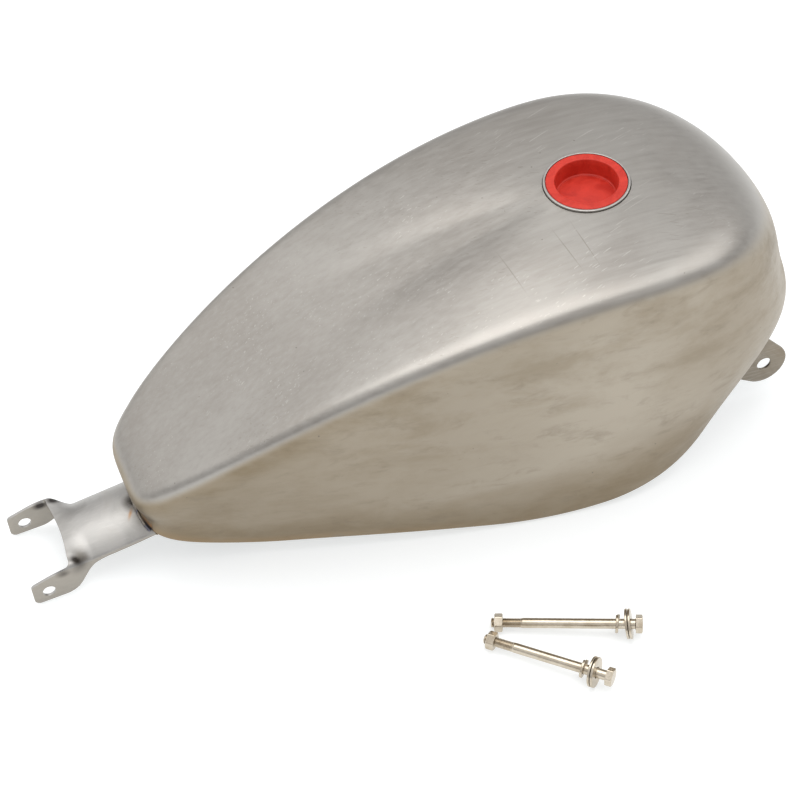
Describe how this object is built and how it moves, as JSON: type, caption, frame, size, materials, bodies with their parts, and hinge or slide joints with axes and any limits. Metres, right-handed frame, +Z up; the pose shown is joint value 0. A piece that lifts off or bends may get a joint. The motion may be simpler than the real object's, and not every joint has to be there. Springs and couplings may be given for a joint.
{
  "type": "motorcycle fuel tank",
  "caption": "Raw steel teardrop fuel tank with frame tunnel, rear saddle bracket, front ears, filler plug and loose mounting bolt sets.",
  "frame": {"origin": "centre of the rear mounting holes, halfway between the two ears of the saddle bracket", "axes": "+X from the tail to the nose, +Y to the rider's left along the mounting bolts, +Z up"},
  "size_m": [0.6587, 0.4033, 0.2586],
  "materials": {
    "skin_steel": "bare sanded sheet steel, oiled, with brown staining",
    "plate_steel": "bare mill-finish sheet steel",
    "bracket_steel": "bare pressed steel plate",
    "machined_steel": "turned steel",
    "weld_steel": "weld bead, dark with heat tint",
    "red_plastic": "soft glossy moulded plastic",
    "plated_steel": "warm nickel or zinc plate, bright"
  },
  "bodies": {
    "tank": {"left_shell": "skin_steel", "right_shell": "skin_steel", "tunnel": "plate_steel", "left_pan": "plate_steel", "right_pan": "plate_steel", "filler_neck": "machined_steel", "filler_neck_weld": "weld_steel", "rear_saddle": "bracket_steel", "rear_saddle_weld": "weld_steel", "front_ear_left": "bracket_steel", "front_ear_right": "bracket_steel", "front_ear_welds": "weld_steel", "petcock_spud": "machined_steel", "petcock_spud_weld": "weld_steel"},
    "plug": {"filler_plug": "red_plastic"},
    "front_bolt": {"front_bolt": "plated_steel"},
    "front_nut": {"front_nut": "plated_steel"},
    "front_lock_washer": {"front_lock_washer": "plated_steel"},
    "front_washer_inner": {"front_washer_inner": "plated_steel"},
    "front_washer_outer": {"front_washer_outer": "plated_steel"},
    "rear_bolt": {"rear_bolt": "plated_steel"},
    "rear_nut": {"rear_nut": "plated_steel"},
    "rear_lock_washer": {"rear_lock_washer": "plated_steel"},
    "rear_washer_inner": {"rear_washer_inner": "plated_steel"},
    "rear_washer_outer": {"rear_washer_outer": "plated_steel"}
  },
  "joints": [
    {"name": "plug_pull", "type": "slide", "parent": "tank", "child": "plug", "axis": [-0.0449, 0, 0.999], "range_m": [0, 0.035]},
    {"name": "front_bolt_turn", "type": "hinge", "parent": "tank", "child": "front_bolt", "pos_m": [0.4135, -0.236, 0.0004], "axis": [-0.9102, 0.411, -0.0506], "range_deg": [-2655, 3960]},
    {"name": "front_nut_travel", "type": "slide", "parent": "tank", "child": "front_nut", "axis": [0.9102, -0.411, 0.0506], "range_m": [-0.0093, 0.0138]},
    {"name": "front_lock_washer_slide", "type": "slide", "parent": "tank", "child": "front_lock_washer", "axis": [-0.9102, 0.411, -0.0506], "range_m": [-0.001, 0.068]},
    {"name": "front_inner_washer_slide", "type": "slide", "parent": "tank", "child": "front_washer_inner", "axis": [-0.9102, 0.411, -0.0506], "range_m": [-0.001, 0.068]},
    {"name": "front_outer_washer_slide", "type": "slide", "parent": "tank", "child": "front_washer_outer", "axis": [-0.9102, 0.411, -0.0506], "range_m": [-0.001, 0.068]},
    {"name": "rear_bolt_turn", "type": "hinge", "parent": "tank", "child": "rear_bolt", "pos_m": [0.372, -0.273, 0.0004], "axis": [-0.7111, 0.7013, -0.0506], "range_deg": [-2655, 3960]},
    {"name": "rear_nut_travel", "type": "slide", "parent": "tank", "child": "rear_nut", "axis": [0.7111, -0.7013, 0.0506], "range_m": [-0.0093, 0.0138]},
    {"name": "rear_lock_washer_slide", "type": "slide", "parent": "tank", "child": "rear_lock_washer", "axis": [-0.7111, 0.7013, -0.0506], "range_m": [-0.006, 0.053]},
    {"name": "rear_inner_washer_slide", "type": "slide", "parent": "tank", "child": "rear_washer_inner", "axis": [-0.7111, 0.7013, -0.0506], "range_m": [-0.006, 0.053]},
    {"name": "rear_outer_washer_slide", "type": "slide", "parent": "tank", "child": "rear_washer_outer", "axis": [-0.7111, 0.7013, -0.0506], "range_m": [-0.006, 0.053]}
  ],
  "couplings": [
    {"joint": "front_nut_travel", "follows": "front_bolt_turn", "m_per_rad": 0.00019894},
    {"joint": "front_inner_washer_slide", "follows": "front_lock_washer_slide", "ratio": 1},
    {"joint": "front_outer_washer_slide", "follows": "front_lock_washer_slide", "ratio": 1},
    {"joint": "rear_nut_travel", "follows": "rear_bolt_turn", "m_per_rad": 0.00019894},
    {"joint": "rear_inner_washer_slide", "follows": "rear_lock_washer_slide", "ratio": 1},
    {"joint": "rear_outer_washer_slide", "follows": "rear_lock_washer_slide", "ratio": 1}
  ]
}
